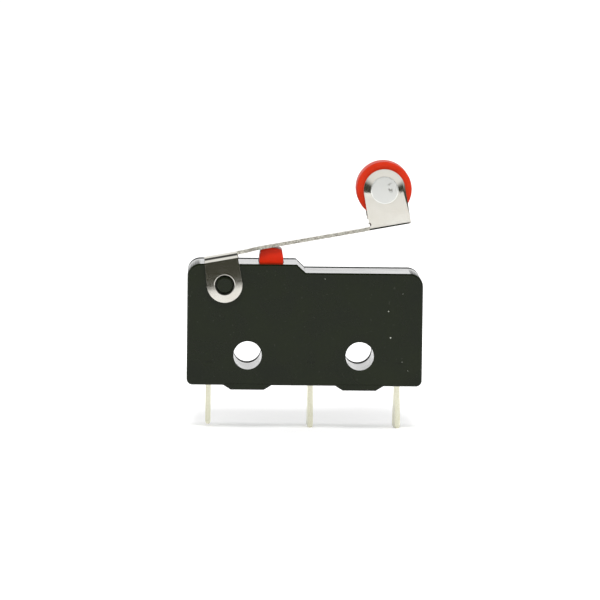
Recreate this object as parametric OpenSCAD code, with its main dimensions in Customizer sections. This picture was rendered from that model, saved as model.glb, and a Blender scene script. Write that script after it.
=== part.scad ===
// Lever micro switch: a subminiature snap-action switch with a hinged roller lever and
// three straight pins. Millimetres. The origin is the centre of the left mounting hole,
// halfway through the housing: +X runs to the roller end, +Y to the cover, +Z to the lever.

/* [Housing] */
// Depth of the housing, from the front face to the cover face
body_d = 6.4; // [6:0.1:8]
// Height of the high top, round the plunger, above the mounting holes
top_high = 7.75; // [7.5:0.05:8.4]
// Step down from the high top to the low one, on the roller side
step_h = 0.7; // [0.4:0.05:0.8]
// Depth of the base below the mounting holes
base_drop = 2.55; // [2.4:0.05:3]
// Right end of the high top
step_x = 4.1; // [4:0.05:4.6]
// Length of the slope from the high top to the low one
step_run = 0.75; // [0.4:0.05:1.2]
// Radius of the two top corners
corner_r = 1.1; // [0.6:0.1:1.4]
// Radius of the two bottom corners
base_r = 0.5; // [0.2:0.1:0.9]
// Thickness of the top, base and end walls
wall = 1.0; // [0.8:0.05:1.1]
// Thickness of the front wall
front_t = 1.0; // [0.8:0.1:1.3]
// Thickness of the cover
cover_t = 1.4; // [1:0.1:1.6]
// Width of the softened edge round the front and the cover
edge_c = 0.12; // [0.05:0.01:0.2]
// Depth of the groove at the seam between case and cover
seam_deep = 0.05; // [0.02:0.01:0.1]
// Width of the groove at the seam
seam_w = 0.1; // [0.05:0.01:0.2]

/* [Mounting] */
// Left end of the housing to the left mounting hole
left_inset = 5.15; // [4.9:0.05:5.8]
// Right mounting hole to the right end of the housing
right_inset = 5.3; // [4.9:0.05:6]
// Distance between the two mounting holes
hole_pitch = 9.5; // [9.3:0.05:10.3]
// Diameter of the mounting holes
hole_d = 2.4; // [2.2:0.05:2.5]
// Wall round each mounting hole, inside the housing
hole_rim = 0.8; // [0.6:0.05:0.9]
// Height of the two stand-offs under the holes
standoff_h = 0.4; // [0.2:0.05:0.6]
// Length of a stand-off's flat
standoff_flat = 2.8; // [2:0.1:3]
// Length of the slope at each end of a stand-off
standoff_run = 0.65; // [0.3:0.05:0.8]
// Diameter of the pegs that hold the cover
peg_d = 0.9; // [0.7:0.05:1]
// Length of the pegs
peg_l = 1.5; // [1:0.1:2]
// Distance of the lower pegs from the mounting holes, along the housing
peg_offset = 2.5; // [2.45:0.01:2.55]
// Height of the lower pegs below the mounting holes
peg_drop = 0.8; // [0.7:0.05:0.9]

/* [Terminals] */
// Left end of the housing to the common pin
com_inset = 1.85; // [1.6:0.05:1.9]
// Distance of the normally open pin from the middle between the mounting holes
no_offset = 0.65; // [0:0.05:0.7]
// Normally closed pin to the right end of the housing
nc_inset = 2.0; // [1.8:0.05:2.3]
// Thickness of the terminal strip
strip_t = 0.45; // [0.4:0.05:0.6]
// Width of the terminal strip inside the housing
strip_w = 3.2; // [2.8:0.1:3.3]
// Width of the pins
pin_w = 1.2; // [0.8:0.1:1.6]
// Length of the open and closed pins below the base
pin_l = 3.9; // [3:0.05:8]
// Length of the common pin below the base
com_pin_l = 3.66; // [2.8:0.02:8]
// Thickness of the ribs beside the open terminal
rib_t = 0.6; // [0.4:0.05:0.8]
// Height of those ribs above the mounting holes
rib_top = 1.4; // [0:0.1:2]
// Height of the rib behind the closed terminal above the mounting holes
end_rib_top = 3.4; // [1:0.1:4]
// Twist of the open pin at its tip, from handling
no_twist = 5; // [0:1:15]
// Twist of the closed pin at its tip, from handling
nc_twist = 11; // [0:1:15]

/* [Hinge and lever] */
// Place of the hinge along the housing, from the left mounting hole
hinge_x = -2.0; // [-2.2:0.05:-1.9]
// Depth of the hinge below the high top
hinge_drop = 1.75; // [1.65:0.05:1.85]
// Diameter of the moulded hinge pins
hinge_d = 1.4; // [1.1:0.05:1.5]
// How far the hinge pins stand out of the housing
hinge_out = 0.5; // [0.4:0.01:0.6]
// Radial clearance of the lever on its hinge pins
hinge_play = 0.06; // [0.03:0.01:0.08]
// Thickness of the lever sheet
sheet_t = 0.3; // [0.25:0.01:0.35]
// Gap between the lever's ears and the housing
ear_gap = 0.05; // [0.03:0.01:0.1]
// Radius of the round end of the hinge ears
ear_r = 1.5; // [1.3:0.05:1.7]
// Taper of the ears' left edge, from the hinge axis up
ear_taper = 0.2; // [0:0.05:0.3]
// How far the ears spread outwards at their foot
ear_flare = 0.14; // [0.05:0.01:0.2]
// Outer radius of the bends of the ears
ear_bend_r = 0.6; // [0.45:0.01:0.7]
// Width of the pressed bevel round the ears' holes
hole_bevel = 0.14; // [0.08:0.01:0.16]
// Height of the lever's underside above the hinge axis
lever_rise = 2.3; // [2.2:0.05:2.5]
// Length of the lever from the hinge axis
lever_l = 16.45; // [16.4:0.05:17.5]
// Width of the lever's arm
arm_w = 4.0; // [3.4:0.1:4.1]
// Rise of the lever to the right, in degrees, when it is free
lever_tilt = 10.4; // [9.5:0.1:11]
// Turn of the lever from free to fully pressed, in degrees
lever_turn = 13; // [10:0.5:13.5]
// Outer radius of the bends of the bracket
bend_r = 0.4; // [0.35:0.01:0.5]

/* [Roller] */
// Place of the roller's axis along the lever, from the hinge axis
roller_x = 14.7; // [14.6:0.05:14.8]
// Height of the roller's axis above the hinge axis, square to the lever
roller_rise = 5.5; // [5.3:0.05:6]
// Diameter of the roller
roller_d = 4.7; // [4.4:0.1:5]
// Width of the roller at its rim
roller_w = 3.1; // [2.6:0.05:3.15]
// Radius of the roller's soft rim
rim_r = 0.3; // [0.1:0.05:0.5]
// Diameter of the roller's hub faces
hub_d = 4.1; // [3:0.1:4.2]
// Height of the hub faces beside the rim
hub_h = 0.12; // [0.05:0.01:0.15]
// Width of the roller bracket over its ears
bracket_w = 4.4; // [4.35:0.05:4.8]
// Length of the bracket at its foot
bracket_l = 3.55; // [3.5:0.05:3.6]
// Radius of the round top of the bracket's ears
bracket_r = 1.76; // [1.6:0.01:1.8]
// Diameter of the roller's rivet
rivet_d = 1.6; // [1.2:0.05:1.7]
// Diameter of the rivet's head
rivet_head_d = 2.34; // [2.2:0.02:2.7]
// Height of the rivet's head
rivet_head_h = 0.28; // [0.2:0.02:0.4]
// Height of the head's flat crown above its edge
rivet_crown = 0.07; // [0.04:0.01:0.1]
// Diameter of the rivet's closed end
rivet_tail_d = 2.2; // [2:0.05:2.6]

/* [Plunger] */
// Place of the plunger along the housing
plunger_x = 1.95; // [1.85:0.05:2]
// Length of the plunger along the housing
plunger_w = 2.05; // [1.8:0.05:2.2]
// Depth of the plunger across the housing
plunger_d = 3.0; // [2.4:0.1:3.1]
// Narrowing of each side of the plunger towards its top
plunger_taper = 0.15; // [0.05:0.01:0.25]
// Height of the straight part of the plunger above the high top
plunger_straight = 0.4; // [0.3:0.05:0.6]
// Radius of the plunger's round top
dome_r = 2.0; // [1.6:0.1:3]
// Length of the plunger's inner flange along the housing
flange_w = 3.0; // [2.6:0.1:3.1]
// Thickness of the plunger's inner flange
flange_t = 0.7; // [0.5:0.05:0.8]
// Length of the foot that presses the snap spring
foot_w = 0.8; // [0.5:0.05:1]

/* [Snap spring and contacts] */
// Thickness of the snap spring's sheet
blade_t = 0.15; // [0.1:0.01:0.18]
// Width of the snap spring
blade_w = 3.0; // [2.8:0.1:3.2]
// Width of each of its two legs
leg_w = 0.7; // [0.5:0.05:0.75]
// Width of its bowed tongue
tongue_w = 1.1; // [0.8:0.05:1.15]
// Height of the spring's bow under the plunger above its two anchors
blade_rise = 1.35; // [1.25:0.01:1.4]
// Height of the tongue's own bow
tongue_bow = 0.5; // [0.3:0.05:0.6]
// Window between the spring's legs to the contacts
window_inset = 2.6; // [2.2:0.1:2.9]
// Distance of the three contacts from the closed pin
contact_inset = 2.15; // [2:0.05:2.4]
// Gap between the open contacts
contact_gap = 0.5; // [0.4:0.01:0.5]
// Diameter of the contact heads
head_d = 2.0; // [1.6:0.1:2.2]
// Thickness of each contact head
head_t = 0.33; // [0.25:0.01:0.35]
// Diameter of the contact shanks
shank_d = 1.0; // [0.8:0.05:1.1]

/* [Clearances] */
// Gap between pieces that are pushed together and do not move
seat = 0.02; // [0.01:0.01:0.03]
// Gap round a piece that slides or turns
play = 0.05; // [0.03:0.01:0.08]
// Radial gap between the roller and its rivet
roller_play = 0.03; // [0.02:0.01:0.06]
// Gap between the lever and the top of the plunger
touch = 0.02; // [0.01:0.01:0.04]

/* [Hidden] */
$fn = 48;

// A cut goes this far past the surface that it opens
past = 0.1;
// Thickness of the two slices that a sloped edge runs between
slice = 0.01;

// Housing
x_left = -left_inset;
x_right = hole_pitch + right_inset;
y_front = -body_d / 2;
y_back = body_d / 2;
y_seam = y_back - cover_t;
y_floor = y_front + front_t;
top_low = top_high - step_h;
step_angle = atan2(step_h, step_run);
hinge_z = top_high - hinge_drop;
rim_outer_r = hole_d / 2 + hole_rim;
peg_wall = 0.4;
inner_base = wall - base_drop;
inner_low = top_low - wall;
inner_high = top_high - wall;
pegs = [
    [peg_offset, -peg_drop],
    [hole_pitch - peg_offset, -peg_drop],
    [hinge_x, hinge_z]
];
hinge_bevel = 0.12;
lap = 1;
mark_l = 0.6;
mark_h = 0.12;
mark_deep = 0.05;
mark_z = -0.55;

// Terminals
com_x = x_left + com_inset;
no_x = hole_pitch / 2 + no_offset;
nc_x = x_right - nc_inset;
contact_x = nc_x - contact_inset;
tip_in = 0.1;

// Lever
ear_out = body_d / 2 + ear_gap + sheet_t;
ear_steps = 8;
ear_flat_top = lever_rise + sheet_t - ear_bend_r;
ear_l = ear_flat_top + ear_r;
ear_slope = atan(2 * ear_flare * ear_r / (ear_l * ear_l));
bevel_deep = 0.1;
press_deep = 0.06;
press_w = 0.43;
lever_top = lever_rise + sheet_t;
shoulder_l = 0.35;
neck_start = ear_r + shoulder_l;
neck_l = 1.7;
neck_steps = 12;
shoulder_w = 2 * (ear_out - ear_bend_r);
bracket_start = lever_l - bracket_l;
relief_r = 0.2;

// Height of the plunger's top when the lever stands at an angle: the round top
// touches the lever's flat underside
function plunger_top(angle) =
    hinge_z + dome_r
    + (lever_rise - dome_r - touch + (plunger_x - hinge_x) * sin(angle)) / cos(angle);
free_top = plunger_top(lever_tilt);
plunger_travel = free_top - plunger_top(lever_tilt - lever_turn);

// Stack of contacts, down from the top wall
nc_arm = inner_low - seat - strip_t;
nc_face = nc_arm - head_t;
moving_top = nc_face - seat / 2;
moving_z = moving_top - head_t - blade_t / 2;
contact_rise = contact_gap * blade_rise / plunger_travel;
anchor_z = moving_z - contact_rise;
moving_base = moving_z - blade_t / 2 - head_t;
no_face = moving_base - contact_gap - seat / 2;
no_arm = no_face - head_t - strip_t;
contact_bevel = 0.08;

// Common terminal: a shelf over the left hole, a tab that anchors the spring's legs
// and a post that takes the tongue
shelf_gap = 0.35;
shelf_z = rim_outer_r + shelf_gap;
anchor_over = 0.35;
tab_w = 1.4;
post_gap = 0.5;
post_x = plunger_x + foot_w / 2 + post_gap;
post_w = 1.3;
post_bend = 0.45;
notch = 0.15;
notch_h = 0.6;

// Snap spring
legs_inner_w = blade_w - 2 * leg_w;
hook = 0.28;
blade_left = com_x - strip_t / 2 - hook;
tongue_x = contact_x - window_inset;
tongue_root = 0.3;
blade_right = contact_x + head_d / 2;
bow_x = com_x;
blade_steps = 12;
tip_x = post_x + strip_t - notch / 3;

// Plunger
foot_z = anchor_z + blade_rise + blade_t / 2 + seat;
flange_top = inner_high - seat;
guide_w = plunger_w + 2 * play;
guide_d = plunger_d + 2 * play;

// ---- helpers ----

// Extrudes an outline drawn in X and Z from depth y0 to depth y1
module slab(y0, y1) {
    translate([0, y1, 0])
        rotate([90, 0, 0])
            linear_extrude(y1 - y0)
                children();
}

// Extrudes a section drawn in Y and Z from x0 to x1
module run(x0, x1) {
    translate([x0, 0, 0])
        rotate([90, 0, 90])
            linear_extrude(x1 - x0)
                children();
}

// A plate in X and Y from z0 to z1
module plate(z0, z1) {
    translate([0, 0, z0])
        linear_extrude(z1 - z0)
            children();
}

// What a round corner of radius r leaves over: the corner is at the place given, and
// the outline lies on the side that right and up (1 or -1) give
module corner(at, right, up, r) {
    translate(at)
        mirror([right > 0 ? 0 : 1, 0])
            mirror([0, up > 0 ? 0 : 1])
                difference() {
                    translate([-past, -past])
                        square(r + past);
                    translate([r, r])
                        circle(r);
                }
}

// A rectangle from one corner to the other
module box2(low, high) {
    translate(low)
        square([high[0] - low[0], high[1] - low[1]]);
}

// A block from one corner to the other
module box3(low, high) {
    translate(low)
        cube([high[0] - low[0], high[1] - low[1], high[2] - low[2]]);
}

// Puts a shape drawn on the lever, with the hinge axis at the origin, where the
// free lever has it
module on_lever() {
    translate([hinge_x, 0, hinge_z])
        rotate([0, -lever_tilt, 0])
            children();
}

// Turns a shape with its axis on Z to lie along Y, its top to the front
module across() {
    rotate([90, 0, 0])
        children();
}

// ---- housing ----

// Outline of the housing without its stand-offs, taken in by inset on every side
module housing_outline(inset) {
    shift = inset * tan(step_angle / 2);
    l = x_left + inset;
    r = x_right - inset;
    b = inset - base_drop;
    low = top_low - inset;
    high = top_high - inset;
    top_r = corner_r - inset;
    bottom_r = base_r - inset;
    difference() {
        polygon([
            [l, b], [r, b], [r, low],
            [step_x + step_run - shift, low], [step_x - shift, high], [l, high]
        ]);
        if (top_r > 0) {
            corner([l, high], 1, -1, top_r);
            corner([r, low], -1, -1, top_r);
        }
        if (bottom_r > 0) {
            corner([l, b], 1, 1, bottom_r);
            corner([r, b], -1, 1, bottom_r);
        }
    }
}

// The two stand-offs, which are centred on the mounting holes
module standoff_outline(x, inset) {
    flat = standoff_flat / 2 - inset;
    foot = standoff_flat / 2 + standoff_run - inset;
    polygon([
        [x - foot, -base_drop + past], [x - foot, -base_drop],
        [x - flat, inset - base_drop - standoff_h], [x + flat, inset - base_drop - standoff_h],
        [x + foot, -base_drop], [x + foot, -base_drop + past]
    ]);
}

// The part of the outline left of the slope's foot, or right of its head and below
// the low top: each has no hollow corner, so a sloped edge can be drawn round it
module half_outline(side, inset) {
    shift = inset * tan(step_angle / 2);
    intersection() {
        housing_outline(inset);
        if (side == "left") {
            box2([x_left - past, -base_drop - past], [step_x + step_run - shift, top_high + past]);
        } else {
            box2([step_x - lap, -base_drop - past], [x_right + past, top_low - inset]);
        }
    }
}

// A face of the housing with a softened edge: from the full outline at depth y to the
// outline taken in by edge_c at depth y + out * edge_c, round a core
module soft_face(y, out) {
    y_far = y + out * edge_c;
    slab(min(y - out * past, y_far - out * slice), max(y - out * past, y_far - out * slice))
        housing_outline(2 * edge_c);
    full = [min(y, y + out * slice), max(y, y + out * slice)];
    taken_in = [min(y_far, y_far - out * slice), max(y_far, y_far - out * slice)];
    for (side = ["left", "right"]) {
        hull() {
            slab(full[0], full[1]) half_outline(side, 0, $fn = 32);
            slab(taken_in[0], taken_in[1]) half_outline(side, edge_c, $fn = 32);
        }
    }
    for (x = [0, hole_pitch]) {
        hull() {
            slab(full[0], full[1]) standoff_outline(x, 0);
            slab(taken_in[0], taken_in[1]) standoff_outline(x, edge_c);
        }
    }
}

// Full outline of the housing with its stand-offs
module full_outline() {
    housing_outline(0);
    standoff_outline(0, 0);
    standoff_outline(hole_pitch, 0);
}

// Space inside the case: the outline less its walls, the rims of the mounting holes,
// the sockets of the pegs and the ribs that hold the three terminals
module cavity_outline() {
    half = strip_t / 2 + seat;
    difference() {
        housing_outline(wall);
        for (x = [0, hole_pitch]) {
            translate([x, 0])
                circle(rim_outer_r);
        }
        for (p = pegs) {
            translate(p)
                circle(peg_d / 2 + peg_wall);
        }
        box2([x_left, inner_base - past], [com_x - half, shelf_z]);
        box2([no_x - half - rib_t, inner_base - past], [no_x - half, rib_top]);
        box2([no_x + half, inner_base - past], [no_x + half + rib_t, rib_top]);
        box2([nc_x + half, inner_base - past], [x_right, end_rib_top]);
    }
}

// Pins on which the lever hinges: out is -1 on the front and 1 on the cover
module hinge_pin(out) {
    length = hinge_out + past;
    r = hinge_d / 2;
    translate([hinge_x, out * (body_d / 2 - past), hinge_z])
        rotate([out > 0 ? -90 : 90, 0, 0])
            rotate_extrude()
                polygon([
                    [0, 0], [r, 0], [r, length - hinge_bevel],
                    [r - hinge_bevel, length], [0, length]
                ]);
}

module mounting_holes() {
    for (x = [0, hole_pitch]) {
        translate([x, y_back + past, 0])
            across()
                cylinder(d = hole_d, h = body_d + 2 * past);
    }
}

// Slots for the three terminals in the base, open to the cover
module terminal_slots(y0, y1, gap) {
    half = strip_t / 2 + gap;
    for (x = [com_x, no_x, nc_x]) {
        box3([x - half, y0, -base_drop - past], [x + half, y1, inner_base + past]);
    }
}

// Short witness marks on the front, over the terminals
module witness_marks() {
    for (x = [com_x, no_x, nc_x]) {
        box3(
            [x - mark_l / 2, y_front - past, mark_z - mark_h / 2],
            [x + mark_l / 2, y_front + mark_deep, mark_z + mark_h / 2]
        );
    }
}

module case() {
    color("#2e312b")
        difference() {
            union() {
                slab(y_front + edge_c, y_seam) full_outline();
                soft_face(y_front + edge_c, -1);
                hinge_pin(-1);
            }
            slab(y_floor, y_seam + past) cavity_outline();
            mounting_holes();
            terminal_slots(-strip_w / 2 - seat, y_seam + past, seat);
            witness_marks();
            box3(
                [plunger_x - guide_w / 2, -guide_d / 2, inner_high - past],
                [plunger_x + guide_w / 2, guide_d / 2, top_high + past]
            );
            for (p = pegs) {
                translate([p[0], y_seam + past, p[1]])
                    across()
                        cylinder(d = peg_d + 2 * seat, h = peg_l + seat + past);
            }
        }
}

module cover() {
    color("#23251f")
        difference() {
            union() {
                slab(y_seam, y_seam + seam_w) {
                    housing_outline(seam_deep);
                    standoff_outline(0, seam_deep);
                    standoff_outline(hole_pitch, seam_deep);
                }
                slab(y_seam + seam_w, y_back - edge_c) full_outline();
                soft_face(y_back - edge_c, 1);
                hinge_pin(1);
                for (p = pegs) {
                    translate([p[0], y_seam + seam_w, p[1]])
                        across()
                            cylinder(d = peg_d, h = peg_l + seam_w);
                }
                intersection() {
                    terminal_slots(strip_w / 2 + seat, y_seam + past, 0);
                    slab(0, y_back) box2([x_left, -base_drop + seam_deep], [x_right, inner_base]);
                }
            }
            mounting_holes();
        }
}

// ---- plunger ----

// Outline of the plunger seen along an axis: its half width is straight, then drawn in
module plunger_side(half, round_top) {
    shoulder = top_high + plunger_straight;
    top = free_top + (round_top ? 0 : past);
    intersection() {
        polygon([
            [-half, flange_top - past], [half, flange_top - past], [half, shoulder],
            [half - plunger_taper, top], [plunger_taper - half, top], [-half, shoulder]
        ]);
        if (round_top) {
            translate([0, free_top - dome_r])
                circle(dome_r, $fn = 96);
        } else {
            box2([-half - past, flange_top - 2 * past], [half + past, free_top + past]);
        }
    }
}

module plunger() {
    color("#c9351f")
        translate([plunger_x, 0, 0]) {
            intersection() {
                slab(-plunger_d / 2, plunger_d / 2) plunger_side(plunger_w / 2, true);
                run(-plunger_w / 2, plunger_w / 2) plunger_side(plunger_d / 2, false);
            }
            box3(
                [-flange_w / 2, -plunger_d / 2, flange_top - flange_t],
                [flange_w / 2, plunger_d / 2, flange_top]
            );
            slab(-plunger_d / 2, plunger_d / 2) {
                box2([-foot_w / 2, foot_z + foot_w / 2], [foot_w / 2, flange_top - flange_t / 2]);
                translate([0, foot_z + foot_w / 2])
                    circle(foot_w / 2);
            }
        }
}

// ---- terminals ----

// A pin below the base: straight at the top, twisted by handling at its tip, with
// its four tip edges drawn in
module pin(x, length, twist) {
    translate([x, 0, 0])
        hull() {
            box3([-strip_t / 2, -pin_w / 2, -base_drop], [strip_t / 2, pin_w / 2, -base_drop + past]);
            rotate([0, 0, twist]) {
                box3(
                    [-strip_t / 2, -pin_w / 2, -base_drop - length + 2 * tip_in],
                    [strip_t / 2, pin_w / 2, -base_drop - length + 2 * tip_in + slice]
                );
                box3(
                    [tip_in - strip_t / 2, tip_in - pin_w / 2, -base_drop - length],
                    [strip_t / 2 - tip_in, pin_w / 2 - tip_in, -base_drop - length + slice]
                );
            }
        }
}

// The strip that stands in the housing, from the base to height z1
module upright(x, z1) {
    box2([x - strip_t / 2, -base_drop + seat], [x + strip_t / 2, z1]);
}

// Common terminal: its centre stands on as a tab, the rest bends to a shelf over the
// left hole and ends in a post
module com_terminal() {
    left = com_x - strip_t / 2;
    right = com_x + strip_t / 2;
    post_right = post_x + strip_t;
    tab_h = anchor_z + anchor_over - shelf_z - strip_t;
    color("#c9c7a6") {
        pin(com_x, com_pin_l, 0);
        difference() {
            slab(-strip_w / 2, strip_w / 2)
                difference() {
                    union() {
                        upright(com_x, shelf_z + strip_t);
                        box2([left, shelf_z], [post_right, shelf_z + strip_t]);
                    }
                    corner([left, shelf_z + strip_t], 1, -1, strip_t);
                }
            box3(
                [right, -tab_w / 2 - play, shelf_z - past],
                [right + tab_h, tab_w / 2 + play, shelf_z + strip_t + past]
            );
            for (side = [-1, 1]) {
                translate([0, side * (post_w + strip_w) / 2, 0])
                    box3(
                        [post_x - strip_t, -strip_w / 2, shelf_z - past],
                        [post_right + past, strip_w / 2, shelf_z + strip_t + past]
                    );
            }
        }
        slab(-tab_w / 2, tab_w / 2)
            difference() {
                box2([left, shelf_z - past], [right, anchor_z + anchor_over]);
                anchor_notch(left, -1);
            }
        slab(-post_w / 2, post_w / 2)
            difference() {
                box2([post_x, shelf_z], [post_right, anchor_z + anchor_over]);
                anchor_notch(post_right, 1);
                corner([post_right, shelf_z], -1, 1, post_bend);
            }
    }
}

// A V cut at the height of the spring's anchors, in the face at x
module anchor_notch(x, out) {
    polygon([
        [x - out * notch, anchor_z],
        [x + out * notch, anchor_z + notch_h],
        [x + out * notch, anchor_z - notch_h]
    ]);
}

// Hole for a contact's shank
module shank_hole(z) {
    translate([contact_x, 0, z - past])
        cylinder(d = shank_d + 2 * seat, h = strip_t + 2 * past);
}

// Normally open terminal: up between the mounting holes and over the right one
module no_terminal() {
    color("#d6d4b4")
        difference() {
            union() {
                pin(no_x, pin_l, no_twist);
                slab(-strip_w / 2, strip_w / 2)
                    difference() {
                        union() {
                            upright(no_x, no_arm + strip_t);
                            box2(
                                [no_x - strip_t / 2, no_arm],
                                [contact_x + head_d / 2, no_arm + strip_t]
                            );
                        }
                        corner([no_x - strip_t / 2, no_arm + strip_t], 1, -1, strip_t);
                    }
            }
            shank_hole(no_arm);
        }
}

// Normally closed terminal: up the right end and back under the top wall
module nc_terminal() {
    color("#d9d8c6")
        difference() {
            union() {
                pin(nc_x, pin_l, nc_twist);
                slab(-strip_w / 2, strip_w / 2)
                    difference() {
                        union() {
                            upright(nc_x, nc_arm + strip_t);
                            box2(
                                [contact_x - head_d / 2, nc_arm],
                                [nc_x + strip_t / 2, nc_arm + strip_t]
                            );
                        }
                        corner([nc_x + strip_t / 2, nc_arm + strip_t], -1, -1, strip_t);
                    }
            }
            shank_hole(nc_arm);
        }
}

// ---- contacts ----

// A contact head that faces up, its back at height z
module contact_head(z) {
    r = head_d / 2;
    translate([contact_x, 0, z])
        rotate_extrude()
            polygon([
                [0, 0], [r, 0], [r, head_t - contact_bevel],
                [r - contact_bevel, head_t], [0, head_t]
            ]);
}

// The same head, facing down, its back at height z
module contact_head_down(z) {
    translate([0, 0, z])
        mirror([0, 0, 1])
            contact_head(0);
}

// A contact's shank between two heights
module shank(z0, z1) {
    translate([contact_x, 0, z0])
        cylinder(d = shank_d, h = z1 - z0);
}

module no_contact() {
    color("#d8d8d6") {
        contact_head(no_arm + strip_t);
        shank(no_arm, no_arm + strip_t + head_t / 2);
    }
}

module nc_contact() {
    color("#d8d8d6") {
        contact_head_down(nc_arm);
        shank(nc_arm - head_t / 2, nc_arm + strip_t);
    }
}

module moving_contact() {
    color("#d8d8d6") {
        contact_head(moving_z + blade_t / 2);
        contact_head_down(moving_z - blade_t / 2);
        shank(moving_base + head_t / 2, moving_top - head_t / 2);
    }
}

// ---- snap spring ----

// Height of the spring's sheet along the housing: up from the anchor to the plunger's
// foot, then down to the flat that carries the contact
function blade_z(x) =
    x < bow_x ? anchor_z
    : x < plunger_x ? anchor_z + blade_rise * sin(90 * (x - bow_x) / (plunger_x - bow_x))
    : x < flat_x ? moving_z + (blade_rise - contact_rise)
        * (1 + cos(180 * (x - plunger_x) / (flat_x - plunger_x))) / 2
    : moving_z;
flat_x = contact_x - head_d / 2;

// Places along the spring at which its height is worked out
blade_xs = concat(
    [blade_left],
    [for (i = [0:blade_steps]) bow_x + (plunger_x - bow_x) * i / blade_steps],
    [for (i = [1:blade_steps]) plunger_x + (flat_x - plunger_x) * i / blade_steps],
    [blade_right]
);

// The bowed sheet seen from the side
module blade_side() {
    last = len(blade_xs) - 1;
    polygon(concat(
        [for (i = [0:last]) [blade_xs[i], blade_z(blade_xs[i]) + blade_t / 2]],
        [for (i = [0:last]) [blade_xs[last - i], blade_z(blade_xs[last - i]) - blade_t / 2]]
    ));
}

// The tongue seen from the side: an arc from the post's notch to the end of the window
module tongue_side() {
    root_x = tongue_x + tongue_root;
    p = [tip_x, anchor_z];
    q = [root_x, blade_z(root_x)];
    chord = norm(q - p);
    r = (chord * chord / 4 + tongue_bow * tongue_bow) / (2 * tongue_bow);
    along = atan2(q[1] - p[1], q[0] - p[0]);
    half = asin(chord / 2 / r);
    centre = (p + q) / 2 - (r - tongue_bow) * [-sin(along), cos(along)];
    last = blade_steps;
    angles = [for (i = [0:last]) along + 90 + half - 2 * half * i / last];
    polygon(concat(
        [for (a = angles) centre + (r + blade_t / 2) * [cos(a), sin(a)]],
        [for (i = [0:last]) centre + (r - blade_t / 2)
            * [cos(angles[last - i]), sin(angles[last - i])]]
    ));
}

module snap_spring() {
    color("#c6a76a") {
        difference() {
            intersection() {
                slab(-blade_w / 2, blade_w / 2) blade_side();
                plate(0, top_high)
                    union() {
                        box2([blade_left, -blade_w / 2], [blade_right - blade_w / 2 + past, blade_w / 2]);
                        translate([contact_x, 0])
                            intersection() {
                                circle(blade_w / 2);
                                box2([-blade_w, -blade_w], [blade_right - contact_x, blade_w]);
                            }
                    }
            }
            box3(
                [com_x - strip_t / 2 + notch / 2, -legs_inner_w / 2, 0],
                [tongue_x, legs_inner_w / 2, top_high]
            );
            translate([contact_x, 0, 0])
                cylinder(d = shank_d + 2 * seat, h = top_high);
        }
        slab(-tongue_w / 2, tongue_w / 2) tongue_side();
    }
}

// ---- lever ----

// Section of a bent channel, open downwards: outer width w, outer radius r of its
// bends, from height z0 to its flat top at z1
module channel(w, r, z0, z1) {
    outer = w / 2;
    inner = outer - sheet_t;
    difference() {
        box2([-outer, z0], [outer, z1]);
        corner([-outer, z1], 1, -1, r);
        corner([outer, z1], -1, -1, r);
        difference() {
            box2([-inner, z0 - past], [inner, z1 - sheet_t]);
            corner([-inner, z1 - sheet_t], 1, -1, r - sheet_t);
            corner([inner, z1 - sheet_t], -1, -1, r - sheet_t);
        }
    }
}

// How far an ear stands out at a height: not at all at its bend, most at its foot
function lean(z) = ear_flare * (1 - pow((z + ear_r) / ear_l, 2));

// Section of one ear below its bend
module ear_section() {
    heights = [for (i = [0:ear_steps]) ear_flat_top - ear_l * i / ear_steps];
    polygon(concat(
        [for (z = heights) [ear_out + lean(z) - sheet_t, z]],
        [for (i = [0:ear_steps])
            let (z = heights[ear_steps - i]) [ear_out + lean(z), z]]
    ));
}

// The two hinge ears and the sheet between them
module hinge_yoke() {
    reach = ear_out + ear_flare + past;
    intersection() {
        run(-ear_r, ear_r) {
            channel(2 * ear_out, ear_bend_r, ear_flat_top, lever_top);
            ear_section();
            mirror([1, 0]) ear_section();
        }
        slab(-reach, reach) {
            circle(ear_r);
            polygon([
                [-ear_r, 0], [ear_r, 0],
                [ear_r, lever_top + past], [ear_taper - ear_r, lever_top + past]
            ]);
        }
    }
}

// Pressed bevel round the hole of an ear, square to the leaning face of the ear
module ear_bevel() {
    r = hinge_d / 2 + hinge_play;
    for (side = [0, 1]) {
        mirror([0, side, 0])
            translate([0, ear_out + lean(0), 0])
                rotate([ear_slope - 90, 0, 0])
                    translate([0, 0, -2 * bevel_deep])
                        cylinder(
                            r1 = r - hole_bevel,
                            r2 = r + 2 * hole_bevel,
                            h = 3 * bevel_deep
                        );
    }
}

// What the rivet's head pressed out of the bracket's front ear: a sloped ring that is
// deepest at the head and runs out on the ear
module pressed_ring() {
    inner = rivet_head_d / 2 - slice;
    translate([roller_x, -bracket_w / 2, roller_rise])
        across()
            rotate_extrude()
                polygon([
                    [inner, -press_deep], [rivet_head_d / 2 + press_w, 0],
                    [rivet_head_d / 2 + press_w, past], [inner, past]
                ]);
}

// Half width of the arm where it narrows, from 0 at the shoulder to 1 at the arm
function neck(t) = shoulder_w / 2 + (arm_w - shoulder_w) / 2 * (1 - cos(180 * t)) / 2;

// The arm seen from above: full width at the ears, a smooth neck, then straight
module arm_outline() {
    side = concat(
        [[0, shoulder_w / 2], [neck_start, shoulder_w / 2]],
        [for (i = [1:neck_steps]) [neck_start + neck_l * i / neck_steps, neck(i / neck_steps)]],
        [[bracket_start - 2 * relief_r, arm_w / 2]],
        [[bracket_start - 2 * relief_r, bracket_w / 2 - bend_r]],
        [[lever_l, bracket_w / 2 - bend_r]]
    );
    last = len(side) - 1;
    polygon(concat(side, [for (i = [0:last]) [side[last - i][0], -side[last - i][1]]]));
}

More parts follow.
